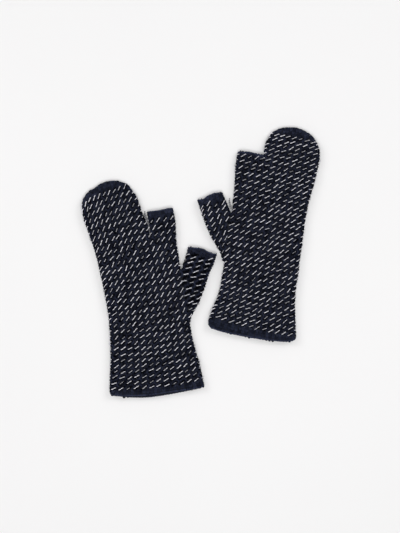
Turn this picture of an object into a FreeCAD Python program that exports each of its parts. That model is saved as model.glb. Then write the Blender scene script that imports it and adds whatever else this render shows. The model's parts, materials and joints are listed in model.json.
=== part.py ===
"""A pair of hand-knitted gloves, lying flat side by side with their backs up.

Each glove is knitted in the round as flattened tubes: a hand tube on a plain cuff band, an open
thumb stub, an open index-finger stub, and one closed pocket for the other three fingers with a
plain tip cap. Millimetres, +Z up, fingers towards +Y, origin under the middle of the pair.
"""

import FreeCAD, Part
import os
from dataclasses import dataclass
from FreeCAD import Vector

# Driving dimensions of the knitting.
THICKNESS = 10.0  # a tube lying flat: two layers of knitting and the slack between them
WALL = 2.0  # one layer of knitting
FOLD_GAP = 0.9  # room left in the solids along each line where the fabric folds
INDEX_BAND = 5.0  # plain rows round the index-finger mouth
THUMB_BAND = 8.0  # plain rows round the thumb mouth
PRESSED = 0.5  # how much of a tube's round underside the table flattens
FAR = 400.0  # further than any part of the pair
REACH = 6.0  # how far a cavity runs on past an open end

BACK_TO_FRONT = Vector(0, 1, 0)  # from the cuff towards the fingertips


@dataclass
class Row:
    """One row of knitting, from its left edge to its right edge, seen with the back up."""

    left: Vector
    right: Vector

    def across(self):
        """The unit direction from the left edge to the right edge."""
        return (self.right - self.left).normalize()

    def outwards(self):
        """The unit direction across the row, away from the cuff."""
        across = self.across()
        return Vector(-across.y, across.x, 0)

    def moved(self, distance):
        """The same row, moved away from the cuff."""
        step = self.outwards() * distance
        return Row(self.left + step, self.right + step)

    def part(self, start, end):
        """The stretch of the row between two distances from its left edge."""
        across = self.across()
        return Row(self.left + across * start, self.left + across * end)

    def section(self, inset, bottom, top):
        """The flattened tube's section at this row: two flat sides joined by two half-rounds."""
        across = self.across()
        radius = (top - bottom) / 2
        left = self.left + across * inset
        right = self.right - across * inset
        low, middle, high = (Vector(0, 0, z) for z in (bottom, (bottom + top) / 2, top))
        near_left, near_right = left + across * radius, right - across * radius
        return Part.Wire(
            [
                Part.LineSegment(near_left + low, near_right + low).toShape(),
                Part.Arc(near_right + low, right + middle, near_right + high).toShape(),
                Part.LineSegment(near_right + high, near_left + high).toShape(),
                Part.Arc(near_left + high, left + middle, near_left + low).toShape(),
            ]
        )


def rows(*ends):
    """Rows from (left x, left y, right x, right y)."""
    return [Row(Vector(ax, ay, 0), Vector(bx, by, 0)) for ax, ay, bx, by in ends]


def outside(tube_rows):
    """The solid that fills a tube's outer surface, cut flat where it lies on the table."""
    sections = [row.section(0.0, -PRESSED, THICKNESS) for row in tube_rows]
    under_table = Part.makeBox(2 * FAR, 2 * FAR, FAR, Vector(-FAR, -FAR, -FAR))
    return Part.makeLoft(sections, True, True).cut(under_table)


def cavity(tube_rows, closed_end=False):
    """The space inside a tube, run on past its open ends, and stopped a wall short of a closed one."""
    last = tube_rows[-1].moved(-WALL if closed_end else REACH)
    inner = [tube_rows[0].moved(-REACH), *tube_rows[:-1], last]
    if not closed_end:
        inner.insert(-1, tube_rows[-1])
    sections = [row.section(WALL, WALL, THICKNESS - WALL) for row in inner]
    return Part.makeLoft(sections, True, True)


def side_of(points, towards):
    """Everything on one side of a smooth line drawn across the fabric."""
    if len(points) > 2:
        line = Part.BSplineCurve()
        line.interpolate(points)
        edge = line.toShape()
    else:
        edge = Part.LineSegment(*points).toShape()
    first, last = points[0], points[-1]
    far_first, far_last = first + towards * FAR, last + towards * FAR
    corners = [last, far_last, far_first, first]
    sides = [Part.LineSegment(a, b).toShape() for a, b in zip(corners, corners[1:])]
    face = Part.Face(Part.Wire([edge, *sides]))
    face.translate(Vector(0, 0, -FAR / 2))
    return face.extrude(Vector(0, 0, FAR))


def points(*pairs):
    """Points on the table from (x, y)."""
    return [Vector(x, y, 0) for x, y in pairs]


@dataclass
class Glove:
    """One glove: the rows and lines that give its tubes their shape."""

    name: str
    hand: list  # rows from below the hem to the knuckle fold
    thumb_root: list  # one row inside the palm, and the thumb fold
    thumb: list  # rows beyond the thumb fold
    index: list  # rows beyond the knuckle fold
    mitten: list
    index_base: tuple  # where each tube starts and ends along the knuckle fold
    mitten_base: tuple
    hem: list  # the free edge of the cuff
    cuff_line: list  # where the plain cuff band meets the patterned hand
    cap_line: list  # where the plain tip cap meets the patterned pocket

    def knuckle_fold(self):
        """The line that the index stub and the finger pocket fold about."""
        return self.hand[-1]

    def thumb_fold(self):
        """The line that the thumb stub folds about."""
        return self.thumb_root[-1]

    def finger_rows(self, base, beyond):
        """A finger tube's rows, starting just past the knuckle fold."""
        return [self.knuckle_fold().part(*base).moved(FOLD_GAP), *beyond]

    def hand_and_cuff(self):
        """The hand tube with the thumb's root, and the cuff band below it."""
        tube = outside(self.hand).fuse(outside(self.thumb_root))
        tube = tube.cut(cavity(self.hand)).cut(cavity(self.thumb_root))
        below_cuff_line = side_of(self.cuff_line, -BACK_TO_FRONT)
        below_hem = side_of(self.hem, -BACK_TO_FRONT)
        hand = tube.cut(below_cuff_line).removeSplitter()
        cuff_band = tube.common(below_cuff_line).cut(below_hem).removeSplitter()
        return {"hand": hand, "cuff_band": cuff_band}

    def stub(self, finger, stub_rows, band):
        """An open finger stub, and the plain band round its mouth."""
        tube = outside(stub_rows).cut(cavity(stub_rows))
        mouth = stub_rows[-1]
        edge_row = mouth.moved(-band)
        across = edge_row.across() * THICKNESS
        beyond = side_of([edge_row.left - across, edge_row.right + across], mouth.outwards())
        return {finger: tube.cut(beyond), f"{finger}_edge": tube.common(beyond)}

    def pocket(self):
        """The closed pocket for three fingers, and its plain tip cap."""
        pocket_rows = self.finger_rows(self.mitten_base, self.mitten)
        tube = outside(pocket_rows).cut(cavity(pocket_rows, closed_end=True))
        beyond = side_of(self.cap_line, BACK_TO_FRONT)
        return {"mitten": tube.cut(beyond), "tip_cap": tube.common(beyond)}

    def pieces(self):
        """Every piece of this glove by node name."""
        thumb_rows = [self.thumb_fold().moved(FOLD_GAP), *self.thumb]
        index_rows = self.finger_rows(self.index_base, self.index)
        made = {
            **self.hand_and_cuff(),
            **self.stub("thumb", thumb_rows, THUMB_BAND),
            **self.stub("index", index_rows, INDEX_BAND),
            **self.pocket(),
        }
        return {f"{self.name}_{node}": shape for node, shape in made.items()}


LEFT = Glove(
    name="left",
    hand=rows(
        (-108.5, -167.5, 6.0, -158.0),
        (-109.0, -151.0, 3.5, -141.0),
        (-108.5, -123.0, -1.5, -122.0),
        (-109.0, -99.0, -7.5, -99.0),
        (-110.0, -71.5, -13.0, -71.5),
        (-113.5, -49.0, -2.5, -49.0),
        (-117.0, -32.0, 2.5, -33.0),
        (-121.0, -11.0, -23.5, -7.0),
        (-125.5, 7.5, -29.0, 22.0),
        (-130.0, 22.0, -30.0, 43.5),
    ),
    thumb_root=rows((-30.5, -26.5, 2.0, -37.5), (-23.5, -7.0, 9.5, -18.0)),
    thumb=rows((-20.0, 4.0, 14.5, -3.5), (-16.5, 18.5, 19.5, 9.5)),
    index=rows((-62.5, 51.0, -30.5, 54.5), (-64.5, 60.5, -33.5, 65.0)),
    mitten=rows(
        (-138.0, 43.5, -66.0, 50.0),
        (-142.5, 63.0, -71.5, 64.0),
        (-140.0, 76.5, -76.5, 77.0),
        (-133.0, 85.5, -83.0, 88.0),
        (-121.5, 93.5, -90.0, 94.0),
        (-111.5, 97.5, -96.5, 97.5),
    ),
    mitten_base=(0.0, 69.0),
    index_base=(71.0, 102.0),
    hem=points((-112.5, -158.0), (-85.0, -161.9), (-43.0, -159.0), (8.0, -149.0)),
    cuff_line=points((-116.5, -147.0), (-85.0, -151.0), (-43.0, -148.0), (12.0, -137.0)),
    cap_line=points((-149.0, 69.0), (-130.5, 79.5), (-112.5, 89.0), (-97.0, 91.5), (-65.0, 78.0)),
)

RIGHT = Glove(
    name="right",
    hand=rows(
        (8.5, -83.5, 115.5, -103.0),
        (8.5, -70.5, 114.0, -86.0),
        (13.0, -55.0, 113.5, -61.0),
        (20.0, -40.0, 113.5, -45.0),
        (23.5, -21.0, 115.5, -23.5),
        (26.5, 0.5, 118.5, 0.5),
        (22.0, 12.5, 120.0, 13.0),
        (15.0, 24.5, 122.5, 25.5),
        (10.0, 35.0, 124.0, 37.5),
        (36.0, 60.5, 127.5, 61.5),
        (38.0, 75.0, 129.5, 70.5),
        (40.0, 97.5, 132.5, 82.0),
    ),
    thumb_root=rows((11.0, 30.5, 43.5, 41.5), (4.0, 49.5, 36.0, 60.5)),
    thumb=rows((-1.0, 63.0, 32.0, 70.0), (-4.5, 74.5, 26.5, 84.0)),
    index=rows((41.0, 115.5, 71.0, 111.0), (44.0, 131.0, 73.5, 128.0)),
    mitten=rows(
        (72.5, 111.0, 138.5, 105.0),
        (75.2, 127.0, 142.5, 124.0),
        (77.5, 138.5, 141.0, 137.0),
        (80.5, 148.5, 136.5, 148.0),
        (88.0, 157.0, 128.0, 156.5),
        (96.0, 162.0, 115.5, 162.0),
    ),
    index_base=(0.0, 28.4),
    mitten_base=(29.6, 93.8),
    hem=points((0.0, -73.5), (25.5, -83.0), (73.5, -92.0), (101.0, -95.0), (122.0, -94.0)),
    cuff_line=points((0.0, -61.5), (28.0, -72.0), (73.5, -80.0), (101.0, -83.0), (122.0, -83.0)),
    cap_line=points((70.0, 138.0), (85.5, 153.5), (107.0, 150.5), (126.0, 145.5), (149.0, 121.0)),
)


def main():
    os.makedirs("parts", exist_ok=True)
    whole = FreeCAD.BoundBox()
    for glove in (LEFT, RIGHT):
        for node, shape in glove.pieces().items():
            if not shape.isValid() or len(shape.Solids) != 1:
                raise RuntimeError(f"{node}: valid {shape.isValid()}, solids {len(shape.Solids)}")
            solid = shape.Solids[0]
            whole.add(solid.optimalBoundingBox(False))
            solid.exportStep(f"parts/{node}.step")
            print(f"{node}: {solid.Volume / 1000:.1f} cm3, {len(solid.Faces)} faces")
    print("box", [round(v, 3) for v in (whole.XMin, whole.YMin, whole.ZMin, whole.XMax, whole.YMax, whole.ZMax)])


main()
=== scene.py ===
"""A pair of hand-knitted gloves lying flat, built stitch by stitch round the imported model.

Each glove is a flattened tube of navy knitting with slanted cream flecks: a hand with a plain cuff
band, an open thumb stub, an open index-finger stub and one closed pocket for the other fingers.
Flat sizes are in millimetres in the model's own frame and turned to metres as meshes are made.
"""

import json
import logging
import math
from collections.abc import Callable
from dataclasses import dataclass, field
from enum import Enum

import bpy
import numpy as np
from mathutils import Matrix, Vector


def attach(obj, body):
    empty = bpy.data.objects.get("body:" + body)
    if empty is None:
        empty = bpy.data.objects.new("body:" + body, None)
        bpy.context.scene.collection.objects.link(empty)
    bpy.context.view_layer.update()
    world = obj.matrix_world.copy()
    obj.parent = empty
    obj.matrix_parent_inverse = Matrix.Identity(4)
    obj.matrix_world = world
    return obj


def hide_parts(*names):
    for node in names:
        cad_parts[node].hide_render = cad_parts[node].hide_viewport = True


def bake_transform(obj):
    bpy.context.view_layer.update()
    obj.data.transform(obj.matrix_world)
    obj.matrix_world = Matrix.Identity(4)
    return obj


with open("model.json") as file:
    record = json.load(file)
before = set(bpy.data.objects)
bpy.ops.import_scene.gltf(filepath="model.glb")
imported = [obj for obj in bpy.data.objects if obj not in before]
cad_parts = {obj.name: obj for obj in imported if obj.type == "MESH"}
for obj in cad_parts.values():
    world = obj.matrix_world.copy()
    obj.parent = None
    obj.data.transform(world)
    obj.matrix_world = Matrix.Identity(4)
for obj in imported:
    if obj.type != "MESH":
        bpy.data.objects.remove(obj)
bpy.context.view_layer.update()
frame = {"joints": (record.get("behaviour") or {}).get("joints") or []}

LOG = logging.getLogger("gloves")
MM = 0.001
Array = np.ndarray
Point = tuple[float, float]
Colour = tuple[float, float, float]


class Face(Enum):
    """The two layers of a flattened tube."""

    BACK = 1.0
    PALM = -1.0


class Part(Enum):
    """The parts of one glove, by the end of their node's name."""

    HAND = "hand"
    CUFF_BAND = "cuff_band"
    THUMB = "thumb"
    THUMB_EDGE = "thumb_edge"
    INDEX = "index"
    INDEX_EDGE = "index_edge"
    MITTEN = "mitten"
    TIP_CAP = "tip_cap"


BODY_OF = {
    Part.HAND: "hand",
    Part.CUFF_BAND: "hand",
    Part.THUMB: "thumb",
    Part.THUMB_EDGE: "thumb",
    Part.INDEX: "index",
    Part.INDEX_EDGE: "index",
    Part.MITTEN: "mitten",
    Part.TIP_CAP: "mitten",
}
BODIES = ("hand", "thumb", "index", "mitten")
PLAIN = (Part.CUFF_BAND, Part.THUMB_EDGE, Part.INDEX_EDGE, Part.TIP_CAP)
SUBDIVISIONS = 5  # straight pieces between two points of a smooth edge
FOLD_START, FOLD_END = -4.0, 13.0  # each fold's stretch; fabric past its start belongs to the part beyond the fold
FAR_INSIDE = 99.0  # stands for fabric with no open edge


def smooth(points: tuple[Point, ...]) -> Array:
    """Draws a smooth line through points.

    Args:
        points: the points that the line passes through.

    Returns:
        Points close together along the line.
    """
    given = np.array(points, float)
    if len(given) < 3:
        return given
    ends = np.vstack([2 * given[0] - given[1], given, 2 * given[-1] - given[-2]])
    t = np.linspace(0, 1, SUBDIVISIONS, endpoint=False)[:, None]
    spans = []
    for a, b, c, d in zip(ends, ends[1:], ends[2:], ends[3:]):
        square, cube = 2 * a - 5 * b + 4 * c - d, 3 * b - a - 3 * c + d
        spans.append(0.5 * (2 * b + (c - a) * t + square * t**2 + cube * t**3))
    return np.vstack([*spans, given[-1:]])


def nearest(places: Array, starts: Array, ends: Array) -> tuple[Array, Array, Array]:
    """Finds the nearest point on a set of straight pieces.

    Args:
        places: points to measure from.
        starts: where each piece starts.
        ends: where each piece ends.

    Returns:
        The nearest points, their distances, and the number of the piece that each lies on.
    """
    found, distance, piece = [], [], []
    run = ends - starts
    length2 = np.maximum((run**2).sum(1), 1e-12)
    for some in np.array_split(places, max(1, len(places) // 4000)):
        t = np.clip(((some[:, None] - starts) * run).sum(2) / length2, 0, 1)
        on = starts + t[..., None] * run
        gap = np.hypot(*(some[:, None] - on).transpose(2, 0, 1))
        best = gap.argmin(1)
        each = np.arange(len(some))
        found.append(on[each, best])
        distance.append(gap[each, best])
        piece.append(best)
    return np.vstack(found), np.concatenate(distance), np.concatenate(piece)


def right_of(along: Array) -> Array:
    """The directions that lie to the right of others."""
    return np.stack([along[:, 1], -along[:, 0]], 1)


@dataclass(frozen=True)
class Line:
    """A smooth open line drawn across or along the fabric."""

    points: tuple[Point, ...]

    def ahead(self, places: Array) -> Array:
        """Measures how far places lie to the left of the line, as one travels along it.

        Args:
            places: points on the table.

        Returns:
            The distance of each, negative to the right.
        """
        drawn = smooth(self.points)
        _, distance, piece = nearest(places, drawn[:-1], drawn[1:])
        run = (drawn[1:] - drawn[:-1])[piece]
        off = places - drawn[piece]
        return np.sign(run[:, 0] * off[:, 1] - run[:, 1] * off[:, 0]) * distance

    def steps(self, pitch: float) -> tuple[Array, Array]:
        """Walks along the line.

        Args:
            pitch: the length of a step.

        Returns:
            The place in the middle of each step, and the line's direction there.
        """
        drawn = smooth(self.points)
        along = np.r_[0, np.cumsum(np.hypot(*np.diff(drawn, axis=0).T))]
        at = np.arange(pitch / 2, along[-1], pitch)
        places = np.stack([np.interp(at, along, drawn[:, k]) for k in (0, 1)], 1)
        after = np.stack([np.interp(at + 0.5, along, drawn[:, k]) for k in (0, 1)], 1)
        before = np.stack([np.interp(at - 0.5, along, drawn[:, k]) for k in (0, 1)], 1)
        direction = after - before
        return places, direction / np.linalg.norm(direction, axis=1, keepdims=True)


@dataclass(frozen=True)
class Outline:
    """A tube's silhouette: smooth edges, joined by straight lines where it is open or runs inside."""

    edges: tuple[tuple[Point, ...], ...]

    def depth(self, places: Array) -> tuple[Array, Array]:
        """Measures how far inside the silhouette places lie.

        Args:
            places: points on the table.

        Returns:
            The distance to the silhouette, negative outside, and the unit direction out of it.
        """
        loop = np.vstack([smooth(edge) for edge in self.edges])
        after = np.roll(loop, -1, axis=0)
        on, distance, _ = nearest(places, loop, after)
        inside = np.zeros(len(places), bool)
        x, y = places.T
        for (ax, ay), (bx, by) in zip(loop, after):
            if ay != by:
                crosses = ((ay > y) != (by > y)) & (x < (bx - ax) * (y - ay) / (by - ay) + ax)
                inside ^= crosses
        sign = np.where(inside, 1.0, -1.0)
        outward = (on - places) * (sign / np.maximum(distance, 1e-6))[:, None]
        return sign * distance, outward


@dataclass(frozen=True)
class StitchNet:
    """The wales and rows of one area of knitting, drawn through a few guide points.

    A whole wale number and a whole row number meet at a fleck; stitches lie on the halves too.
    """

    wales: tuple[float, ...]
    rows: tuple[float, ...]
    guides: tuple[tuple[Point, ...], ...]
    first: Point
    last: Point

    @staticmethod
    def shares(nodes: tuple[float, ...], at: Array) -> Array:
        """Works out each guide's share of a smooth curve through all of them.

        Args:
            nodes: the guides' numbers along the curve.
            at: the numbers wanted.

        Returns:
            One row of shares for each guide.
        """
        shares = np.ones((len(nodes), len(at)))
        for k, node in enumerate(nodes):
            for other in nodes:
                if other != node:
                    shares[k] *= (at - other) / (node - other)
        return shares

    def at(self, wale: Array, row: Array) -> Array:
        """The places on the table of wale and row numbers."""
        across, along = self.shares(self.wales, wale), self.shares(self.rows, row)
        return np.einsum("an,bn,abk->nk", across, along, np.array(self.guides))

    def lattice(self, step: float) -> tuple[Array, Array]:
        """Lists every wale and row number of the net.

        Args:
            step: how far apart they are.

        Returns:
            The wale numbers and the row numbers of all crossings.
        """
        wale = np.arange(self.first[0], self.last[0] + step / 2, step)
        row = np.arange(self.first[1], self.last[1] + step / 2, step)
        wale, row = np.meshgrid(wale, row)
        return wale.ravel(), row.ravel()

    def directions(self, wale: Array, row: Array) -> tuple[Array, Array]:
        """Measures how far one wale and one row move on the table.

        Args:
            wale: wale numbers.
            row: row numbers, as many.

        Returns:
            The step from each crossing to the next wale, and to the next row.
        """
        nudge = 0.05
        across = (self.at(wale + nudge, row) - self.at(wale - nudge, row)) / (2 * nudge)
        along = (self.at(wale, row + nudge) - self.at(wale, row - nudge)) / (2 * nudge)
        return across, along


@dataclass(frozen=True)
class Laying:
    """How flat knitting lies round a flattened tube."""

    side_radius: float = 3.9
    inset: float = 0.8  # the yarn stands proud of the surface that it is laid on
    middle: float = 4.85
    wrap: float = 2.0  # how far over the side a layer runs, as an angle in radians
    sag: float = 0.9  # how far the middle of the back sinks below its puffed edges
    sag_reach: float = 22.0

    def ripple(self, places: Array) -> Array:
        """Shapes the slow, slight rise and fall of relaxed knitting.

        Args:
            places: points on the table.

        Returns:
            The height at each, in millimetres.
        """
        x, y = places.T
        return (
            0.28 * np.sin(x / 11.0 + 1.7 * np.sin(y / 23.0))
            + 0.25 * np.sin(y / 13.0 - x / 29.0 + 0.8)
            + 0.16 * np.sin((x + y) / 6.1)
        )

    def angle(self, depth: Array) -> Array:
        """How far over the round side a place lies, from 0 on the flat."""
        return np.clip((self.side_radius + self.inset - depth) / self.side_radius, 0, 3.0)

    def lay(self, places: Array, depth: Array, outward: Array, height: Array, face: Face) -> Array:
        """Lays flat places on one layer of the tube.

        Args:
            places: points on the table, in millimetres.
            depth: how far inside the silhouette each lies.
            outward: the direction out of the silhouette at each.
            height: how far each stands out of the fabric.
            face: the layer.

        Returns:
            Points in space, in millimetres.
        """
        angle = self.angle(depth)
        round_in = np.minimum(depth - self.side_radius - self.inset, 0)
        out = np.sin(angle) * (self.side_radius + height)
        flat = places + outward * (round_in + out)[:, None]
        up = np.cos(angle) * (self.side_radius + height)
        if face is Face.BACK:
            share = np.clip((depth - self.side_radius) / self.sag_reach, 0, 1)
            share = share * share * (3 - 2 * share)
            up = up + share * (self.ripple(places) - self.sag)
        return np.column_stack([flat, self.middle + face.value * up])


@dataclass(frozen=True)
class Template:
    """A small shape that is repeated: points as (across, along, height), and its faces."""

    points: Array
    faces: list[list[int]]
    twist: Array
    open: Array  # how open to the light each point is, from 0 to 1

    @staticmethod
    def strand(sides: int, rings: int, fullness: float) -> "Template":
        """Models one plump strand of yarn from a sphere.

        Args:
            sides: flat sides round the strand.
            rings: rings of points along it, with its two ends.
            fullness: below 1 the strand stays thick nearer to its ends.

        Returns:
            A strand of radius 1 that runs from -1 to 1 along its second axis.
        """
        bpy.ops.object.select_all(action="DESELECT")
        bpy.ops.mesh.primitive_uv_sphere_add(segments=sides, ring_count=rings, radius=1.0)
        ball = bpy.context.object
        bpy.ops.transform.rotate(value=math.pi / 2, orient_axis="X", center_override=(0, 0, 0))
        bpy.ops.object.transform_apply(location=False, rotation=True, scale=False)
        points = np.array([v.co for v in ball.data.vertices])
        faces = [list(f.vertices) for f in ball.data.polygons]
        bpy.data.meshes.remove(ball.data)
        around = np.hypot(points[:, 0], points[:, 2])
        fuller = np.where(around > 1e-6, around**fullness / np.maximum(around, 1e-6), 0)
        turn = np.arctan2(points[:, 2], points[:, 0]) / (2 * math.pi)
        points[:, [0, 2]] *= fuller[:, None]
        return Template(points, faces, turn + points[:, 1], np.ones(len(points)))

    def shaped(
        self,
        radii: Point,
        half_length: float,
        curve: Callable[[Array, int], tuple[Array, Array]],
        copies: int = 1,
        knob: float = 0.0,
        sunk: Point = (0.0, 0.0),
    ) -> "Template":
        """Bends the strand along a line.

        Args:
            radii: the strand's half-width and half-height.
            half_length: half its length.
            curve: gives (sideways, height) along the strand for -1 to 1 and the copy's number.
            copies: how many strands go side by side or round each other.
            knob: how much thicker it is towards its ends, and thinner in its middle.
            sunk: how much light its low parts lose, and how much its first end loses.

        Returns:
            The shaped strands as one shape.
        """
        points, faces, twist = [], [], []
        for copy in range(copies):
            sideways, height = curve(self.points[:, 1], copy)
            plump = 1.0 + knob * (2.4 * self.points[:, 1] ** 2 - 1.0)
            points.append(
                np.column_stack(
                    [
                        self.points[:, 0] * radii[0] * plump + sideways,
                        self.points[:, 1] * half_length,
                        self.points[:, 2] * radii[1] * plump + height,
                    ]
                )
            )
            faces += [[v + copy * len(self.points) for v in f] for f in self.faces]
            twist.append(self.twist)
        points = np.vstack(points)
        high = (points[:, 2] - points[:, 2].min()) / np.ptp(points[:, 2])
        start = (1 - points[:, 1] / half_length) / 2
        return Template(points, faces, np.concatenate(twist), 1 - sunk[0] * (1 - high) - sunk[1] * start)

    def repeated_faces(self, copies: int) -> list[list[int]]:
        """The faces of a number of copies, whose points follow one another."""
        size = len(self.points)
        return [[v + k * size for v in face] for k in range(copies) for face in self.faces]


class Shapes:
    """The repeated shapes of the knitting."""

    def __init__(self) -> None:
        """Models each shape once."""
        legs = {"curve": self.leg, "copies": 2, "sunk": (0.7, 0.0)}
        plies = {"curve": self.ply, "copies": 2, "knob": 0.5, "sunk": (0.05, 0.12)}
        self.stitch = Template.strand(6, 5, 0.6).shaped((0.25, 0.85), 0.78, **legs)
        self.under_stitch = Template.strand(5, 4, 0.6).shaped((0.27, 0.85), 0.80, **legs)
        self.fleck = Template.strand(5, 8, 0.35).shaped((0.43, 0.48), 3.45, **plies)
        self.chain = Template.strand(6, 5, 0.5).shaped((0.95, 0.95), 2.6, self.chain_link)

    @staticmethod
    def leg(along: Array, copy: int) -> tuple[Array, Array]:
        """One leg of a V stitch: its top leans out, and both ends tuck into the fabric."""
        side = 2 * copy - 1
        return side * (0.21 + 0.13 * along), 0.15 - 1.2 * along**2

    @staticmethod
    def ply(along: Array, copy: int) -> tuple[Array, Array]:
        """One of two plies of cream yarn, twisted round each other over the navy stitches."""
        turn = math.pi * (1.5 * along + copy)
        bow = 1.15 - 1.5 * along**4
        return 0.25 * np.sin(turn) + 0.55 * along**3, bow + 0.24 * np.cos(turn)

    @staticmethod
    def chain_link(along: Array, copy: int) -> tuple[Array, Array]:
        """One link of the edge that the knitting was cast on or bound off with."""
        return 0.25 * along, -0.1 - 0.9 * along**2


@dataclass(frozen=True)
class Yarn:
    """A woollen yarn's finish."""

    name: str
    slot: str
    dark: Colour
    light: Colour
    sheen: Colour
    sheen_weight: float
    unevenness: float  # how far stitches differ in shade
    lift: float  # how much lighter all of it is
    roughness: float = 0.85


NAVY = Yarn(
    name="navy_wool",
    slot="navy_yarn",
    dark=(0.0002, 0.0002, 0.0006),
    light=(0.0440, 0.0520, 0.0930),
    sheen=(0.20, 0.24, 0.36),
    sheen_weight=0.01,
    unevenness=0.46,
    lift=-0.12,
)
CREAM = Yarn(
    name="cream_wool",
    slot="cream_yarn",
    dark=(0.15, 0.15, 0.165),
    light=(0.935, 0.92, 0.985),
    sheen=(1.0, 1.0, 1.0),
    sheen_weight=0.05,
    unevenness=0.75,
    lift=0.13,
)


class Value:
    """A number that changes over a surface, from a node's socket, with Python's operators."""

    def __init__(self, nodes: "Nodes", socket: bpy.types.NodeSocket | None) -> None:
        """Wraps a socket of a material's nodes."""
        self.nodes = nodes
        self.socket = socket

    def _math(self, operation: str, first: object, second: object = None) -> "Value":
        """Adds one Math node."""
        values = {0: first} if second is None else {0: first, 1: second}
        return self.nodes.add("ShaderNodeMath", {"operation": operation}, values)

    def __add__(self, other: object) -> "Value":
        """self + other."""
        return self._math("ADD", self, other)

    __radd__ = __add__

    def __mul__(self, other: object) -> "Value":
        """self * other."""
        return self._math("MULTIPLY", self, other)

    __rmul__ = __mul__

    def __sub__(self, other: object) -> "Value":
        """self - other."""
        return self._math("SUBTRACT", self, other)

    def __rsub__(self, other: object) -> "Value":
        """other - self."""
        return self._math("SUBTRACT", other, self)

    def sine(self) -> "Value":
        """The sine of this number."""
        return self._math("SINE", self)

    def clamped(self) -> "Value":
        """This number, kept between 0 and 1."""
        return self._math("MINIMUM", self._math("MAXIMUM", self, 0.0), 1.0)


class Nodes:
    """The nodes of one new material."""

    def __init__(self, name: str) -> None:
        """Starts an empty material."""
        self.material = bpy.data.materials.new(name)
        self.material.use_nodes = True
        self.tree = self.material.node_tree
        self.tree.nodes.clear()

    def add(self, kind: str, settings: dict, values: dict, output: object = 0) -> Value:
        """Adds a node.

        Args:
            kind: the node's type.
            settings: its settings by name.
            values: what goes into its sockets, by name or number: numbers, tuples or Values.
            output: the name or number of the socket wanted from it.

        Returns:
            That output, or an empty Value from a node that has none.
        """
        node = self.tree.nodes.new(kind)
        for key, value in settings.items():
            setattr(node, key, value)
        for key, value in values.items():
            if isinstance(value, Value):
                self.tree.links.new(value.socket, node.inputs[key])
            else:
                node.inputs[key].default_value = value
        return Value(self, node.outputs[output] if node.outputs else None)

    def colour_between(self, dark: Colour, light: Colour, share: Value) -> Value:
        """Mixes two colours.

        Args:
            dark: the first colour.
            light: the second colour.
            share: how much of the second one there is.

        Returns:
            The mixed colour.
        """
        factor, first, second, result = 0, 6, 7, 2  # the Mix node's sockets for colours
        values = {factor: share, first: (*dark, 1.0), second: (*light, 1.0)}
        return self.add("ShaderNodeMix", {"data_type": "RGBA"}, values, result)


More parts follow.
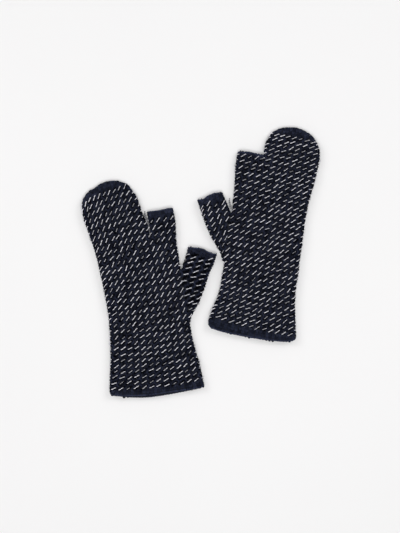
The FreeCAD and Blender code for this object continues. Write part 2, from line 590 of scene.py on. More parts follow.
class Finishes:
    """The materials, each made once."""

    def __init__(self) -> None:
        """Makes the yarns, the lining and the floor."""
        self.navy = self.yarn(NAVY)
        self.cream = self.yarn(CREAM)
        self.lining = self.inside()
        self.floor = self.table()

    @staticmethod
    def yarn(yarn: Yarn) -> bpy.types.Material:
        """Makes a woollen yarn: two twisted plies, loose fibre, stitches that differ in shade, and painted
        shade in its colour where the 'open' attribute is low.

        Args:
            yarn: its finish.

        Returns:
            The material.
        """
        nodes = Nodes(yarn.name)
        place = nodes.add("ShaderNodeTexCoord", {}, {}, "Object")
        shade = nodes.add("ShaderNodeAttribute", {"attribute_name": "shade"}, {}, "Fac")
        twist = nodes.add("ShaderNodeAttribute", {"attribute_name": "twist"}, {}, "Fac")
        fibre = nodes.add("ShaderNodeTexNoise", {}, {"Vector": place, "Scale": 2600.0, "Detail": 3.0})
        felt = nodes.add("ShaderNodeTexNoise", {}, {"Vector": place, "Scale": 420.0, "Detail": 2.0})
        plies = (twist * (4 * math.pi)).sine() * 0.5 + 0.5
        # the 'open' attribute is painted shade: it darkens the colour in the low parts of strands and along
        # the cream strands
        clear = nodes.add("ShaderNodeAttribute", {"attribute_name": "open"}, {}, "Fac")
        grain = shade * yarn.unevenness + fibre * 0.3 + felt * 0.25 + plies * 0.12 + yarn.lift
        light = (grain * clear).clamped()
        colour = nodes.colour_between(yarn.dark, yarn.light, light)
        relief = plies * 0.6 + fibre * 0.5
        bump = nodes.add("ShaderNodeBump", {}, {"Strength": 0.5, "Distance": 0.0004, "Height": relief})
        values = {
            "Base Color": colour,
            "Roughness": fibre * 0.2 + (yarn.roughness - 0.1),
            "Sheen Weight": yarn.sheen_weight,
            "Sheen Roughness": 0.6,
            "Sheen Tint": (*yarn.sheen, 1.0),
            "Specular IOR Level": 0.01,
            "Normal": bump,
        }
        return Finishes.finished(nodes, values)

    @staticmethod
    def inside() -> bpy.types.Material:
        """Makes the inner side of the knitting, ribbed by its floats, far darker than the navy yarn: partly
        its own colour, partly painted shade for the pits between the stitches.

        Returns:
            The material.
        """
        nodes = Nodes("navy_wool_inside")
        place = nodes.add("ShaderNodeTexCoord", {}, {}, "Object")
        felt = nodes.add("ShaderNodeTexNoise", {}, {"Vector": place, "Scale": 900.0, "Detail": 3.0})
        cells = nodes.add("ShaderNodeTexVoronoi", {}, {"Vector": place, "Scale": 330.0})
        light = (felt * 0.8 + cells * 0.4 - 0.2).clamped()
        # far darker than the navy yarn: painted shade for the pits seen between the stitches
        colour = nodes.colour_between((0.0030, 0.0034, 0.0062), (0.0100, 0.0112, 0.0180), light)
        height = {"Strength": 0.6, "Distance": 0.0008, "Height": cells + felt}
        bump = nodes.add("ShaderNodeBump", {}, height)
        values = {"Base Color": colour, "Roughness": felt * 0.15 + 0.82, "Normal": bump}
        return Finishes.finished(nodes, values)

    @staticmethod
    def table() -> bpy.types.Material:
        """Makes the plain pale surface that the gloves lie on.

        Returns:
            The material.
        """
        nodes = Nodes("pale_table")
        place = nodes.add("ShaderNodeTexCoord", {}, {}, "Object")
        grain = nodes.add("ShaderNodeTexNoise", {}, {"Vector": place, "Scale": 3.0, "Detail": 2.0})
        colour = nodes.colour_between((0.865, 0.860, 0.860), (0.885, 0.880, 0.882), grain)
        return Finishes.finished(nodes, {"Base Color": colour, "Roughness": 0.9})

    @staticmethod
    def finished(nodes: Nodes, values: dict) -> bpy.types.Material:
        """Joins a material's values to its shader and its output."""
        shader = nodes.add("ShaderNodeBsdfPrincipled", {}, values)
        nodes.add("ShaderNodeOutputMaterial", {}, {"Surface": shader})
        return nodes.material


@dataclass
class Batch:
    """Copies of shapes, laid on a glove and waiting to become one piece."""

    points: list[Array] = field(default_factory=list)
    faces: list[list[int]] = field(default_factory=list)
    facts: dict[str, list[Array]] = field(default_factory=dict)
    count: int = 0

    def add(self, points: Array, faces: list[list[int]], facts: dict[str, Array]) -> None:
        """Adds one or more shapes.

        Args:
            points: their points, in millimetres.
            faces: the faces between them, as point numbers from 0.
            facts: numbers on the points, by attribute name.
        """
        self.points.append(points)
        self.faces += [[v + self.count for v in face] for face in faces]
        for key, numbers in facts.items():
            self.facts.setdefault(key, []).append(numbers)
        self.count += len(points)

    def piece(self, name: str, material: bpy.types.Material) -> bpy.types.Object:
        """Makes one piece of all the shapes, with its place in its mesh.

        Args:
            name: the piece's name.
            material: its finish.

        Returns:
            The piece.
        """
        mesh = bpy.data.meshes.new(name)
        mesh.from_pydata((np.vstack(self.points) * MM).tolist(), [], self.faces)
        for key, numbers in self.facts.items():
            attribute = mesh.attributes.new(key, "FLOAT", "POINT")
            attribute.data.foreach_set("value", np.concatenate(numbers).astype(np.float32))
        mesh.shade_smooth()
        mesh.materials.append(material)
        made = bpy.data.objects.new(name, mesh)
        bpy.context.scene.collection.objects.link(made)
        return made


@dataclass
class Spots:
    """Places on a glove where a shape goes, with what is known about each."""

    places: Array
    across: Array  # how far one unit of the shape reaches sideways, on the table
    along: Array
    depth: Array
    outward: Array
    part: Array
    inside: Array  # how far inside the nearest open edge

    def only(self, wanted: Array) -> "Spots":
        """Some of the spots."""
        return Spots(*(getattr(self, key)[wanted] for key in self.__dataclass_fields__))


@dataclass(frozen=True)
class PaintedFurrowShade:
    """Painted shade round each cream strand: the stitches' colour darkens in a band along it, where a furrow
    would lie, in millimetres.
    """

    wale_pitch: float = 7.5  # between strands of neighbouring wales
    row_pitch: float = 7.4
    reach: float = 3.2  # how far it runs each way along the strand
    floor: float = 0.8  # half the width of its darkest part
    side: float = 1.7  # from there to well outside it
    steepness: float = 1.5
    darkest: float = 0.02  # how open to the light its floor is
    plain: float = 0.8  # how open the stitches are where no strand lies


@dataclass(frozen=True)
class Strands:
    """How the cream strands differ: ranges for whole ones and for worn ones, pulled half inside."""

    worn_share: float = 0.22
    length: Point = (0.84, 1.08)
    worn_length: Point = (0.55, 0.85)
    thickness: Point = (0.65, 1.03)
    worn_thickness: Point = (0.5, 0.75)
    shade: Point = (0.3, 1.15)
    worn_shade: Point = (0.1, 0.45)
    turn: float = 6.0  # spread of their slant, in degrees
    stray: float = 0.45  # spread of their places, in millimetres
    palm_height: float = 0.5  # they are pressed flatter underneath

    @staticmethod
    def either(rng: np.random.Generator, worn: Array, worn_range: Point, whole_range: Point) -> Array:
        """Draws one number for each strand, from the range for worn ones or for whole ones."""
        return np.where(worn, rng.uniform(*worn_range, len(worn)), rng.uniform(*whole_range, len(worn)))


@dataclass(frozen=True)
class LooseStrands:
    """The loose inner strands in a notch, their cream darkened with painted shade, in millimetres or as
    shares of a fleck.
    """

    pitch: float = 2.3
    aside: float = 0.45  # they lie in turn this far to the left and right of the middle
    width: float = 1.15
    length: float = 0.6
    depth: float = 9.0  # far enough inside to be laid flat
    drop: float = 4.4
    # below the flecks' range: painted shade, as the strands lie in the notch's shadow
    shade: Point = (-1.0, -0.35)


@dataclass(frozen=True)
class Chain:
    """The chained open edges."""

    pitch: float = 3.5
    set_in: float = 0.8
    thickness: Point = (0.9, 1.15)
    # random, and above the stitches' 0 to 1: partly a painted highlight along each open edge
    shade: Point = (0.6, 1.3)


@dataclass(frozen=True)
class Lining:
    """The inner sheets, dark with painted shade for the pits between stitches, in millimetres unless said
    otherwise.
    """

    overlap: float = 5.0  # how far the hand's and the thumb's sheets run past their border
    wrap: float = 1.85  # how far round the sides they run, in radians
    drop: float = 1.3  # how far under the stitches they lie
    set_in: float = 0.9  # from an open edge to the sheet's own edge
    least_inside: float = 0.3
    drawn_from: float = 7.0  # places no further than this outside an edge are drawn in to it
    safe_depth: float = 2.0  # nearer the silhouette, a sheet between facing sides is left out


@dataclass
class Glove:
    """One glove: its silhouette, its stitch nets and the lines where its parts meet."""

    side: str
    outlines: dict[str, Outline]
    main_net: StitchNet
    thumb_net: StitchNet
    thumb_border: Line  # the thumb's knitting lies to its left
    hem: Line
    cuff_line: Line
    cap_line: Line
    thumb_mouth: Line
    thumb_edge_line: Line
    index_mouth: Line
    index_edge_line: Line
    palm_lip: float  # how far the palm's hem shows past the back's, in its middle
    seed: int
    laying: Laying = field(default_factory=Laying)
    # the painted shade round the cream strands
    furrow: PaintedFurrowShade = field(default_factory=PaintedFurrowShade)
    strands: Strands = field(default_factory=Strands)
    loose: LooseStrands = field(default_factory=LooseStrands)
    chain: Chain = field(default_factory=Chain)
    lining: Lining = field(default_factory=Lining)
    slant: float = 47.5  # of a fleck above its row, in degrees
    slant_loss: float = 1.7  # less of it for each row towards the cuff
    tip_slant_loss: float = 0.0  # less of it for each row towards the tip
    thumb_slant_loss: float = 8.0
    notches: tuple[tuple[str, Line], ...] = ()  # the body and the place of loose strands
    palm_wrap: float = 1.35  # how far over the side the palm runs, in radians
    thumb_hold: float = 0.5  # how much deeper than in the thumb a stitch of it may lie in the hand
    stitch_room: float = 1.0  # from an open edge to the first stitches
    strand_room: float = 2.5  # and to the first cream strands
    tug: float = 0.16  # spread of the stitches' places
    plain_height: float = 0.7  # the plain bands are knitted flatter
    cuff_openness: float = 0.82  # how open to the light the cuff band's stitches are

    def fold(self, name: str) -> tuple[Array, Array]:
        """Looks up one of this glove's folds.

        Args:
            name: its name without the side.

        Returns:
            Its place on the table and the direction away from the hand.
        """
        found = next(j for j in frame["joints"] if j["name"] == f"{self.side}_{name}_fold")
        axis = found["axis"]
        return np.array(found["pos_m"][:2]) / MM, np.array([-axis[1], axis[0]])

    def past_fold(self, places: Array, name: str) -> Array:
        """How far places lie beyond a fold."""
        place, outward = self.fold(name)
        return (places - place) @ outward

    def survey(self, places: Array, across: Array, along: Array, face: Face) -> Spots:
        """Finds where places lie on the glove.

        Args:
            places: points on the table.
            across: the sideways direction at each.
            along: the lengthways direction at each.
            face: the layer.

        Returns:
            The same places with their depth, part and distance from an open edge.
        """
        depths, outwards = zip(*(outline.depth(places) for outline in self.outlines.values()))
        names = list(self.outlines)
        best = np.argmax(depths, axis=0)
        each = np.arange(len(places))
        depth, outward = np.array(depths)[best, each], np.array(outwards)[best, each]
        index_side = depths[names.index("index")] > depths[names.index("mitten")]
        thumb_side = self.thumb_border.ahead(places) > 0
        past_knuckles = self.past_fold(places, "pocket") > FOLD_START
        thumb_depth = depths[names.index("thumb")]
        own_thumb = thumb_depth > depth - self.thumb_hold
        thumb = thumb_side & (self.past_fold(places, "thumb") > FOLD_START) & own_thumb
        index = ~thumb & past_knuckles & index_side
        mitten = ~thumb & past_knuckles & ~index_side
        low = ~(thumb | index | mitten)
        part = np.full(len(places), Part.HAND, object)
        part[low & (self.cuff_line.ahead(places) < 0)] = Part.CUFF_BAND
        part[mitten] = Part.MITTEN
        part[mitten & (self.cap_line.ahead(places) > 0)] = Part.TIP_CAP
        part[index] = Part.INDEX
        part[index & (self.index_edge_line.ahead(places) > 0)] = Part.INDEX_EDGE
        part[thumb] = Part.THUMB
        part[thumb & (self.thumb_edge_line.ahead(places) > 0)] = Part.THUMB_EDGE
        hem = self.hem.ahead(places) + (self.lip(places) if face is Face.PALM else 0)
        mouths = [-self.thumb_mouth.ahead(places), -self.index_mouth.ahead(places), hem]
        inside = np.select([thumb, index, low], mouths, np.full(len(places), FAR_INSIDE))
        return Spots(places, across, along, depth, outward, part, inside)

    def lip(self, places: Array) -> Array:
        """Measures how far the palm's hem runs past the back's.

        Args:
            places: points on the table.

        Returns:
            The distance at each, in millimetres.
        """
        low, high = self.hem.points[0][0], self.hem.points[-1][0]
        share = np.clip((places[:, 0] - low) / (high - low), 0, 1)
        return self.palm_lip * np.sin(math.pi * share)

    def lattice(self, step: float, face: Face) -> list[tuple[StitchNet, Array, Array, Spots]]:
        """Finds every crossing of wales and rows that lies on one layer.

        Args:
            step: how many wales and rows apart.
            face: the layer.

        Returns:
            For each net, the net, its crossings' wale and row numbers, and their spots.
        """
        found = []
        wrap = self.laying.wrap if face is Face.BACK else self.palm_wrap
        for net in (self.main_net, self.thumb_net):
            wale, row = net.lattice(step)
            across, along = net.directions(wale, row)
            spots = self.survey(net.at(wale, row), across * step, along * step, face)
            own = (self.thumb_border.ahead(spots.places) > 0) == (net is self.thumb_net)
            kept = own & (self.laying.angle(spots.depth) < wrap) & (spots.inside > self.stitch_room)
            found.append((net, wale[kept], row[kept], spots.only(kept)))
            if net is self.main_net:
                for name, other in (("index", "mitten"), ("mitten", "index")):
                    wall, chosen = self.inner_wall(spots, name, other, wrap)
                    found.append((net, wale[chosen], row[chosen], wall))
        return found

    def inner_wall(self, spots: Spots, name: str, other: str, wrap: float) -> tuple[Spots, Array]:
        """Finds the spots on the side of one finger that faces the other, where the two touch.

        Args:
            spots: the spots of the whole layer.
            name: the finger whose side it is.
            other: the finger that it faces.
            wrap: how far over the side the layer runs.

        Returns:
            The side's spots, and which of the given spots they are.
        """
        depth, outward = self.outlines[name].depth(spots.places)
        across_border = np.array([BODY_OF[part] == other for part in spots.part])
        chosen = across_border & (self.laying.angle(depth) < wrap) & (depth < self.laying.side_radius)
        inside = np.full(len(depth), FAR_INSIDE)
        if name == "index":
            inside = -self.index_mouth.ahead(spots.places)
        chosen &= inside > self.stitch_room
        wall = spots.only(chosen)
        wall.depth, wall.outward, wall.inside = depth[chosen], outward[chosen], inside[chosen]
        part = Part.INDEX if name == "index" else Part.MITTEN
        wall.part = np.full(chosen.sum(), part, object)
        if name == "index":
            wall.part[self.index_edge_line.ahead(wall.places) > 0] = Part.INDEX_EDGE
        return wall, chosen

    def lay(
        self,
        batch: Batch,
        shape: Template,
        spots: Spots,
        face: Face,
        shade: Array,
        lift: float = 1.0,
        open_to_light: Array | None = None,
    ) -> None:
        """Lays copies of a shape at spots.

        Args:
            batch: where the copies go.
            shape: the shape, as (across, along, height).
            spots: where they go.
            face: the layer.
            shade: each copy's shade.
            lift: how strongly the shape's height counts.
            open_to_light: how little each point of each copy is sunk among its neighbours.
        """
        x, y, z = shape.points.T
        offset = spots.across[:, None] * x[:, None] + spots.along[:, None] * y[:, None]
        flat = (spots.places[:, None] + offset).reshape(-1, 2)
        depth = (spots.depth[:, None] - (offset * spots.outward[:, None]).sum(2)).ravel()
        outward = np.repeat(spots.outward, len(x), axis=0)
        copies = len(spots.places)
        points = self.laying.lay(flat, depth, outward, np.tile(lift * z, copies), face)
        faces = shape.repeated_faces(copies)
        if face is Face.PALM:
            faces = [f[::-1] for f in faces]
        open_to_light = np.ones((copies, len(x))) if open_to_light is None else open_to_light
        facts = {
            "shade": np.repeat(shade, len(x)),
            "twist": np.tile(shape.twist, copies),
            "open": (open_to_light * shape.open).ravel(),
        }
        batch.add(points, faces, facts)

    def beside_flecks(self, net: StitchNet, wale: Array, row: Array, shape: Template) -> Array:
        """How open to the light each point of each stitch is, as painted shade: each fleck darkens a band
        along it.

        Args:
            net: the stitches' net.
            wale: each stitch's wale number.
            row: each stitch's row number.
            shape: the stitch.

        Returns:
            For each stitch and point, 0 in the darkest painted shade along a fleck and 1 well beside it.
        """
        furrow = self.furrow
        w = wale[:, None] + 0.5 * shape.points[:, 0]
        r = row[:, None] + 0.5 * shape.points[:, 1]
        x, y = (w - np.round(w)) * furrow.wale_pitch, (r - np.round(r)) * furrow.row_pitch
        turn = math.radians(self.slant)
        along = np.abs(x * math.cos(turn) + y * math.sin(turn))
        beside = np.abs(y * math.cos(turn) - x * math.sin(turn))
        far = np.hypot(np.maximum(along - furrow.reach, 0), beside)
        share = np.clip((far - furrow.floor) / furrow.side, 0, 1)
        open_to_light = furrow.darkest + (1 - furrow.darkest) * share**furrow.steepness
        crossings, which = np.unique(np.round([w.ravel(), r.ravel()]), axis=1, return_inverse=True)
        found = self.survey(net.at(*crossings), *net.directions(*crossings), Face.BACK)
        bare = np.isin(found.part, PLAIN) | (found.inside < self.strand_room)
        return np.where(bare[which.ravel()].reshape(w.shape), furrow.plain, open_to_light)

    def stitches(self, shapes: Shapes) -> dict[tuple[Part, Face], Batch]:
        """Knits the navy stitches of both layers.

        Args:
            shapes: the stitches' shapes.

        Returns:
            The stitches of each part and layer.
        """
        batches = {}
        rng = np.random.default_rng(self.seed)
        for face in Face:
            shape = shapes.stitch if face is Face.BACK else shapes.under_stitch
            for net, wale, row, spots in self.lattice(0.5, face):
                shade = rng.uniform(0.0, 1.0, len(wale))
                spots.places = spots.places + rng.normal(0, self.tug, (len(wale), 2))
                for part in Part:
                    chosen = spots.part == part
                    if not chosen.any():
                        continue
                    clear = None
                    if part is Part.CUFF_BAND:
                        clear = np.full((chosen.sum(), len(shape.points)), self.cuff_openness)
                    elif part not in PLAIN:
                        # painted shade: the stitches darken in a band along each fleck
                        clear = self.beside_flecks(net, wale[chosen], row[chosen], shape)
                    height = self.plain_height if part in PLAIN else 1.0
                    batch = batches.setdefault((part, face), Batch())
                    self.lay(batch, shape, spots.only(chosen), face, shade[chosen], height, clear)
        return batches

    def slants(self, net: StitchNet, row: Array) -> Array:
        """Works out how steeply the cream strands of some rows slant.

        Args:
            net: the net that they lie on.
            row: their row numbers.

        Returns:
            Their slant above their row, in degrees.
        """
        if net is self.thumb_net:
            return np.full(len(row), self.slant - self.thumb_slant_loss)
        near_cuff, near_tip = np.clip(-row, 0, 11), np.clip(row - 8, 0, 14)
        return self.slant - self.slant_loss * near_cuff - self.tip_slant_loss * near_tip

    def flecks(self, shapes: Shapes) -> dict[str, Batch]:
        """Lays the slanted cream strands, one over every second stitch of every second row.

        Args:
            shapes: the strand's shape.

        Returns:
            The strands of each body.
        """
        batches, kinds = {}, self.strands
        rng = np.random.default_rng(self.seed + 1)
        for face in Face:
            height = 1.0 if face is Face.BACK else kinds.palm_height
            for net, _, row, spots in self.lattice(1.0, face):
                kept = ~np.isin(spots.part, PLAIN) & (spots.inside > self.strand_room)
                spots, count = spots.only(kept), kept.sum()
                if count == 0:
                    continue
                unit = spots.across / np.linalg.norm(spots.across, axis=1, keepdims=True)
                turn = np.radians(self.slants(net, row[kept]) + rng.normal(0, kinds.turn, count))
                worn = rng.random(count) < kinds.worn_share
                length = kinds.either(rng, worn, kinds.worn_length, kinds.length)
                thickness = kinds.either(rng, worn, kinds.worn_thickness, kinds.thickness)
                cos, sin = np.cos(turn), np.sin(turn)
                x, y = unit.T
                along = np.stack([x * cos - y * sin, x * sin + y * cos], 1)
                spots.along = along * length[:, None]
                spots.across = right_of(along) * thickness[:, None]
                spots.places = spots.places + rng.normal(0, kinds.stray, (count, 2))
                shade = kinds.either(rng, worn, kinds.worn_shade, kinds.shade)
                for body in BODIES:
                    chosen = np.array([BODY_OF[part] == body for part in spots.part], bool)
                    if chosen.any():
                        batch = batches.setdefault(body, Batch())
                        self.lay(batch, shapes.fleck, spots.only(chosen), face, shade[chosen], height)
        for body, line in self.notches:
            self.floats(batches[body], shapes.fleck, line, rng)
        return batches

    def floats(self, batch: Batch, shape: Template, line: Line, rng: np.random.Generator) -> None:
        """Lays loose inner strands, which show low in the notch between two fingers, their cream darkened
        with painted shade.

        Args:
            batch: where the strands go.
            shape: one strand.
            line: the middle of the notch.
            rng: where the strands' shades come from.
        """
        loose = self.loose
        places, along = line.steps(loose.pitch)
        count = len(places)
        x, y, z = shape.points.T
        aside = np.where(np.arange(count) % 2 == 0, -loose.aside, loose.aside)
        sideways = loose.width * x + aside[:, None]
        offset = right_of(along)[:, None] * sideways[..., None] + along[:, None] * (loose.length * y)[:, None]
        flat = (places[:, None] + offset).reshape(-1, 2)
        depth = np.full(len(flat), loose.depth)
        height = np.tile(z, count) - loose.drop
        points = self.laying.lay(flat, depth, np.zeros_like(flat), height, Face.BACK)
        # their dark shades are painted shade of the notch
        facts = {
            "shade": np.repeat(rng.uniform(*loose.shade, count), len(x)),
            "twist": np.tile(shape.twist, count),
            "open": np.ones(len(flat)),
        }
        batch.add(points, shape.repeated_faces(count), facts)

    def chains(self, shapes: Shapes) -> dict[Part, Batch]:
        """Lays the chained edges of the cuff, the thumb and the index finger, on both layers, their links
        painted lighter than the stitches as a highlight along each edge.

        Args:
            shapes: the chain link's shape.

        Returns:
            The links of each part that has an open edge.
        """
        batches, chain = {}, self.chain
        rng = np.random.default_rng(self.seed + 2)
        edges = {
            Part.CUFF_BAND: (self.hem, 1.0),
            Part.THUMB_EDGE: (self.thumb_mouth, -1.0),
            Part.INDEX_EDGE: (self.index_mouth, -1.0),
        }
        for part, (line, inwards) in edges.items():
            batches[part] = Batch()
            for face in Face:
                places, along = line.steps(chain.pitch)
                set_in = np.full(len(places), chain.set_in)
                if line is self.hem and face is Face.PALM:
                    set_in = set_in - self.lip(places)
                places = places - right_of(along) * (inwards * set_in)[:, None]
                thickness = rng.uniform(*chain.thickness, len(places))
                spots = self.survey(places, right_of(along) * thickness[:, None], along, face)
                wrap = self.laying.wrap if face is Face.BACK else self.palm_wrap
                own = np.array([BODY_OF[found] == BODY_OF[part] for found in spots.part])
                kept = own & (self.laying.angle(spots.depth) < wrap)
                # random shades, lifted as a painted highlight along the edge
                shade = rng.uniform(*chain.shade, kept.sum())
                self.lay(batches[part], shapes.chain, spots.only(kept), face, shade)
        return batches

    def linings(self) -> dict[str, Batch]:
        """Makes the inner sheets just under the stitches, dark with painted shade for the pits between them,
        cut clean at the open edges.

        Returns:
            The sheets of each body.
        """
        batches, sheet = {body: Batch() for body in BODIES}, self.lining
        for face in Face:
            for net in (self.main_net, self.thumb_net):
                wide = int(round((net.last[0] - net.first[0]) * 2)) + 1
                wale, row = net.lattice(0.5)
                spots = self.survey(net.at(wale, row), *net.directions(wale, row), face)
                places = self.drawn_in(spots)
                spots = self.survey(places, spots.across, spots.along, face)
                ahead = self.thumb_border.ahead(places) * (1 if net is self.thumb_net else -1)
                in_air = self.laying.angle(spots.depth) > sheet.wrap
                usable = (ahead > -sheet.overlap) & ~in_air & (spots.inside > sheet.least_inside)
                corner = np.arange(len(wale)).reshape(-1, wide)
                quads = np.stack([corner[:-1, :-1], corner[:-1, 1:], corner[1:, 1:], corner[1:, :-1]], 2)
                quads = quads.reshape(-1, 4)
                quads = quads[usable[quads].all(1)]
                ways = spots.outward[quads]
                facing = np.einsum("qik,qjk->qij", ways, ways).min((1, 2))
                quads = quads[(facing > 0) | (spots.depth[quads].min(1) > sheet.safe_depth)]
                height = np.full(len(wale), -sheet.drop)
                points = self.laying.lay(spots.places, spots.depth, spots.outward, height, face)
                body = np.array([BODY_OF[part] for part in spots.part])
                for name, batch in batches.items():
                    chosen = quads[(body[quads] == name).sum(1) >= 2]
                    used, faces = np.unique(chosen, return_inverse=True)
                    faces = faces.reshape(-1, 4)
                    if face is Face.PALM:
                        faces = faces[:, ::-1]
                    batch.add(points[used], faces.tolist(), {})
        return batches

    def drawn_in(self, spots: Spots) -> Array:
        """Draws places just past an open edge back to it, so that a sheet ends along the edge.

        Args:
            spots: the sheet's points.

        Returns:
            Their places after it.
        """
        places, sheet = spots.places.copy(), self.lining
        lines = {"thumb": self.thumb_mouth, "index": self.index_mouth, "hand": self.hem}
        for name, line in lines.items():
            body = np.array([BODY_OF[part] == name for part in spots.part])
            past = body & (spots.inside < sheet.set_in) & (spots.inside > -sheet.drawn_from)
            if past.any():
                drawn = smooth(line.points)
                run = drawn[1:] - drawn[:-1]
                _, _, piece = nearest(places[past], drawn[:-1], drawn[1:])
                right = right_of(run[piece])
                right /= np.linalg.norm(right, axis=1, keepdims=True)
                way = -1.0 if name == "hand" else 1.0
                places[past] += right * (way * (sheet.set_in - spots.inside[past]))[:, None]
        return places

    def hold(self, piece: bpy.types.Object, body: str) -> None:
        """Ties a hand piece to the hand's body; a piece of any other body only has its place baked into its
        mesh.

        Args:
            piece: the piece.
            body: the end of its body's name.
        """
        if body == "hand":
            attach(piece, f"{self.side}_hand")
            return
        place, outward = self.fold({"thumb": "thumb", "index": "index", "mitten": "pocket"}[body])
        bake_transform(piece)

    def build(self, shapes: Shapes, finishes: Finishes) -> None:
        """Builds and dresses every piece of the glove.

        Args:
            shapes: the repeated shapes.
            finishes: the materials.
        """
        stitches, chains = self.stitches(shapes), self.chains(shapes)
        for part in Part:
            name = f"{self.side}_{part.value}"
            layers = {"knit": [stitches[part, face] for face in Face]}
            if part in (Part.HAND, Part.MITTEN):  # the largest parts are one piece for each layer
                layers = {face.name.lower(): [stitches[part, face]] for face in Face}
            for label, batches in layers.items():
                whole = Batch()
                for batch in [*batches, *([chains[part]] if part in chains else [])]:
                    facts = {key: np.concatenate(numbers) for key, numbers in batch.facts.items()}
                    whole.add(np.vstack(batch.points), batch.faces, facts)
                piece = whole.piece(f"{name}_{label}", finishes.navy)
                self.finish_piece(piece, BODY_OF[part])
                if label in ("knit", "back"):
                    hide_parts(name)
        for body, batch in self.flecks(shapes).items():
            self.finish_piece(batch.piece(f"{self.side}_{body}_flecks", finishes.cream), body)
        for body, batch in self.linings().items():
            self.finish_piece(batch.piece(f"{self.side}_{body}_lining", finishes.lining), body)

    def finish_piece(self, piece: bpy.types.Object, body: str) -> None:
        """Hands a piece and its body to hold, and reports it.

        Args:
            piece: the piece.
            body: the end of its body's name.
        """
        self.hold(piece, body)
        triangles = sum(len(face.vertices) - 2 for face in piece.data.polygons)
        LOG.info("%s: %d triangles", piece.name, triangles)


def left_glove() -> Glove:
    """Describes the glove whose thumb points to the right.

    Returns:
        The glove, not yet built.
    """
    hand = Outline(
        (
            (
                (-108, -177), (-109.5, -151), (-108.5, -127), (-108.5, -99), (-110, -71.5),
                (-113, -51), (-118.5, -23.5), (-124.5, 4), (-130, 22), (-133.5, 30.5),
            ),
            ((-61.5, 36),),
            ((-30, 41), (-28.5, 19.5), (-26, 5), (-24, -7)),
            (
                (9, -18), (4, -33), (-0.5, -44.5), (-6, -55), (-10.5, -63), (-12.5, -71.5),
                (-11.5, -82.5), (-7, -101.5), (-1, -123), (3.5, -142.5), (10, -167.5),
            ),
        )
    )
    mitten = Outline(
        (
            (
                (-118.5, -23.5), (-124.5, 4), (-130, 22), (-136.5, 40), (-141, 53), (-142.5, 65),
                (-141, 76), (-135.5, 84), (-128, 89), (-121, 94), (-111.5, 97.5), (-103, 98),
                (-96, 97), (-87.5, 93), (-81.5, 85.5), (-76.5, 78.5), (-73, 69), (-69.5, 58),
                (-64, 46.5), (-61.5, 36.5), (-61, 21), (-60, -3),
            ),
        )
    )
    index = Outline(
        (
            ((-59, 0.5), (-60.5, 27), (-61, 37.5), (-63.2, 51), (-65.2, 61.5), (-66.5, 77)),
            ((-35, 79.5), (-33, 64), (-30.5, 51), (-29.5, 36.5), (-28.5, 19.5), (-26, 5), (-24, -7)),
        )
    )
    thumb = Outline(
        (
            ((-34.5, -35.5), (-28.5, -21), (-24, -7), (-20, 1.5), (-17.5, 10), (-15.5, 19), (-12, 33)),
            (
                (23.5, 23), (19.5, 9.5), (14.5, -4.5), (9, -18), (4, -33), (-0.5, -44.5),
                (-6, -55), (-10.5, -64),
            ),
        )
    )
    main_net = StitchNet(
        wales=(-5, 1.5, 8),
        rows=(-11, 0, 11, 22),
        guides=(
            ((-113.5, -151), (-109.5, -76), (-120.5, 0), (-139.5, 78)),
            ((-54, -148), (-60, -72), (-75, 12.5), (-103.5, 94)),
            ((4, -138), (-12.5, -63), (-27, 22), (-58.5, 105.5)),
        ),
        first=(-9, -15),
        last=(11, 28),
    )
    thumb_net = StitchNet(
        wales=(-2, 2),
        rows=(-4, -0.5, 3),
        guides=(
            ((-31, -49), (-29, -19), (-19, 6.5)),
            ((-9.5, -52.5), (6, -30), (16, -9)),
        ),
        first=(-4, -5.5),
        last=(5, 8),
    )
    return Glove(
        side="left",
        outlines={"hand": hand, "mitten": mitten, "index": index, "thumb": thumb},
        main_net=main_net,
        thumb_net=thumb_net,
        thumb_border=Line(
            ((-13, 45), (-22.5, 9), (-24.5, -7), (-21.5, -33), (-16, -52), (-8, -61), (20, -66))
        ),
        hem=Line(
            (
                (-117, -154), (-111, -156), (-106, -158.8), (-99.5, -159.5), (-79, -160), (-61, -159),
                (-43, -156.5), (-19, -153), (-1, -150), (5, -147), (11, -143),
            )
        ),
        cuff_line=Line(
            (
                (-116, -152), (-97, -153), (-78, -153.5), (-58.5, -151), (-33.5, -148.5),
                (-6, -143), (8.5, -140),
            )
        ),
        cap_line=Line(
            (
                (-147.5, 71), (-135.5, 74), (-127, 80), (-118.5, 85), (-110, 89), (-100.5, 91),
                (-92, 92), (-85, 91), (-73, 84.5),
            )
        ),
        thumb_mouth=Line(
            ((-24, 19.5), (-15, 18.5), (-1, 17), (4.5, 15.5), (8.5, 13), (14, 11), (19, 9.5), (26, 6.5))
        ),
        thumb_edge_line=Line(((-21.5, 13), (-7, 10.5), (1, 7.5), (9, 4.5), (22, 0.5))),
        index_mouth=Line(((-72, 59.5), (-64.5, 60.5), (-49, 62.5), (-37, 65), (-26, 64.5))),
        index_edge_line=Line(((-68, 55), (-49, 57.5), (-27.5, 60))),
        palm_lip=2.8,
        notches=(("mitten", Line(((-67.8, 60), (-65.8, 53.5), (-63.7, 48), (-61.9, 42), (-60.9, 35)))),),
        seed=11,
    )


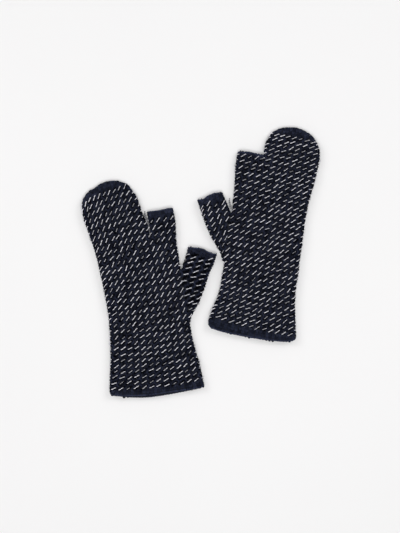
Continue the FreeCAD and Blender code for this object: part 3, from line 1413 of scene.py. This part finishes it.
def right_glove() -> Glove:
    """Describes the glove whose thumb points to the left.

    Returns:
        The glove, not yet built.
    """
    hand = Outline(
        (
            (
                (7, -93), (8, -75), (10, -64.5), (15, -52), (20, -40), (23.5, -26), (26, -9),
                (26.5, 1.5), (23.5, 10), (19, 18.5), (13.5, 28), (8.5, 38), (4, 49),
            ),
            ((36, 60.5), (38.5, 75), (40, 91.5), (40.5, 99)),
            ((68.5, 92),),
            (
                (133, 84.5), (129, 70), (125.5, 52), (123, 33), (121, 17), (118.5, 0.5), (116.5, -16.5),
                (114, -33), (113, -51), (113.5, -75), (114.5, -93), (115.5, -107.5),
            ),
        )
    )
    mitten = Outline(
        (
            (
                (67, 57), (67.2, 80), (68.2, 93), (69.8, 101), (71.5, 108.5), (73, 116), (74.2, 123),
                (75, 129), (75.5, 133.5), (77, 141.5),
                (80.5, 149), (86.5, 156.5), (95, 160.5), (106, 162), (116.5, 161), (126, 157),
                (135, 150), (140.5, 139.5), (142.5, 126.5), (140, 112), (137, 97.5), (133, 84.5),
                (129, 70), (125.5, 52),
            ),
        )
    )
    index = Outline(
        (
            ((36, 60.5), (38.5, 75), (40, 91.5), (41, 111), (42.5, 125), (44.5, 135), (47, 149)),
            (
                (78.6, 144.5), (77, 129), (76.2, 123), (74.9, 116), (73.5, 108.5), (72.2, 101),
                (71, 93), (70, 80), (69, 60.5),
            ),
        )
    )
    thumb = Outline(
        (
            (
                (26.5, -1), (23.5, 10), (19, 18.5), (13.5, 28), (8.5, 38), (4, 49), (-0.5, 62),
                (-4.5, 74), (-9, 87),
            ),
            ((22.5, 96.5), (26.5, 83), (30, 73.5), (36, 60.5), (43.5, 46), (48, 31.5)),
        )
    )
    main_net = StitchNet(
        wales=(-6, 0.5, 7),
        rows=(-9, 1.667, 12.333, 23),
        guides=(
            ((12.5, -62), (30.5, 5), (42.5, 87.5), (61.5, 155.5)),
            ((64, -77.5), (76.5, -1.5), (90.5, 78.5), (108.5, 149)),
            ((114.5, -87), (123, -8.5), (136, 68), (156, 137)),
        ),
        first=(-10, -14),
        last=(10, 29),
    )
    thumb_net = StitchNet(
        wales=(-1, 3),
        rows=(-6, -1.5, 3),
        guides=(
            ((26, 12), (8, 39), (2, 66.5)),
            ((44, 19.5), (41, 52), (31.5, 82)),
        ),
        first=(-4, -9),
        last=(5, 8),
    )
    return Glove(
        side="right",
        outlines={"hand": hand, "mitten": mitten, "index": index, "thumb": thumb},
        main_net=main_net,
        thumb_net=thumb_net,
        thumb_border=Line(
            ((0, -14), (20, -13), (26, -6), (28, 15), (31.5, 36.5), (36, 60.5), (36, 81), (32.5, 111))
        ),
        hem=Line(
            (
                (3, -62), (6, -68), (10.5, -77), (16, -80), (25.5, -83), (47, -87.5), (73.5, -92),
                (89, -94), (101, -95), (109.5, -94), (115, -91), (120, -85),
            )
        ),
        cuff_line=Line(
            ((2.5, -66), (14.5, -68.5), (28, -71.5), (42, -75.5), (66, -80.5), (89, -85), (119, -87))
        ),
        cap_line=Line(
            (
                (73.5, 145.5), (80.5, 153.5), (89, 156), (104, 154.5), (118.5, 151),
                (133.5, 146.5), (145.5, 138.5),
            )
        ),
        thumb_mouth=Line(
            ((-12, 71), (-4.5, 74.5), (2.5, 75.5), (6, 78), (11, 81), (18, 83), (26, 84), (33, 85))
        ),
        thumb_edge_line=Line(((-8, 62), (6, 69), (14.5, 73), (23, 76), (34, 78.5))),
        index_mouth=Line(
            ((36, 129.5), (44.5, 132.5), (50.5, 132), (59, 132), (66, 130), (74.5, 128), (83, 126))
        ),
        index_edge_line=Line(
            ((36, 130.5), (48, 129), (55.5, 128.5), (62.5, 126.5), (70, 124.5), (80.5, 121.5))
        ),
        palm_lip=0.8,
        slant=49.0,
        slant_loss=0.6,
        tip_slant_loss=0.9,
        notches=(("hand", Line(((33.8, 76), (34.6, 71), (35.8, 65)))),),
        seed=23,
    )


@dataclass(frozen=True)
class Studio:
    """The table, the soft light and the camera straight above."""

    centre: Point = (-0.96, -5.04)  # of the view, in millimetres
    distance: float = 2000.0
    seen_height: float = 639.6
    sensor: float = 36.0
    table_size: float = 12.0  # in metres, as are the lamps' places and sizes
    sky_strength: float = 0.26
    lamps: tuple[tuple[str, tuple[float, float, float], float, float], ...] = (
        ("overhead_softbox", (0.0, -0.4, 2.1), 1.2, 27.5),
        ("left_softbox", (-1.35, 0.8, 1.45), 1.0, 9.9),
        ("right_softbox", (1.35, 0.8, 1.45), 1.0, 9.9),
    )

    def build(self, finishes: Finishes) -> None:
        """Builds the studio.

        Args:
            finishes: the materials.
        """
        bpy.ops.object.select_all(action="DESELECT")
        bpy.ops.mesh.primitive_plane_add(size=self.table_size, location=(0, 0, 0))
        floor = bpy.context.object
        floor.name = "table_top"
        bpy.ops.object.mode_set(mode="EDIT")
        bpy.ops.mesh.subdivide(number_cuts=3)
        bpy.ops.object.mode_set(mode="OBJECT")
        floor.data.materials.append(finishes.floor)
        self.light()
        self.camera()

    def light(self) -> None:
        """A pale world, a soft light overhead and a softer one at each upper side."""
        world = bpy.data.worlds.new("soft_white")
        world.use_nodes = True
        ground = world.node_tree.nodes["Background"]
        ground.inputs["Color"].default_value = (1.0, 1.0, 1.0, 1.0)
        ground.inputs["Strength"].default_value = self.sky_strength
        bpy.context.scene.world = world
        for name, place, size, energy in self.lamps:
            lamp = bpy.data.lights.new(name, "AREA")
            lamp.shape = "SQUARE"
            lamp.size = size
            lamp.energy = energy
            holder = bpy.data.objects.new(name, lamp)
            holder.location = place
            holder.rotation_mode = "QUATERNION"
            holder.rotation_quaternion = Vector(place).to_track_quat("Z", "Y")
            bpy.context.scene.collection.objects.link(holder)

    def camera(self) -> None:
        """A camera that looks straight down and frames both gloves."""
        seen = bpy.data.cameras.new("camera")
        seen.sensor_width = self.sensor
        seen.lens = self.sensor * self.distance / self.seen_height
        seen.clip_start, seen.clip_end = 0.05, 20.0
        holder = bpy.data.objects.new("camera", seen)
        holder.location = (self.centre[0] * MM, self.centre[1] * MM, self.distance * MM)
        bpy.context.scene.collection.objects.link(holder)
        bpy.context.scene.camera = holder
        bpy.context.scene.view_settings.view_transform = "Standard"


def main() -> None:
    """Builds both gloves and the studio."""
    logging.basicConfig(level=logging.INFO, format="%(name)s: %(message)s")
    finishes, shapes = Finishes(), Shapes()
    for glove in (left_glove(), right_glove()):
        glove.build(shapes, finishes)
    Studio().build(finishes)


if __name__ == "__main__":
    main()
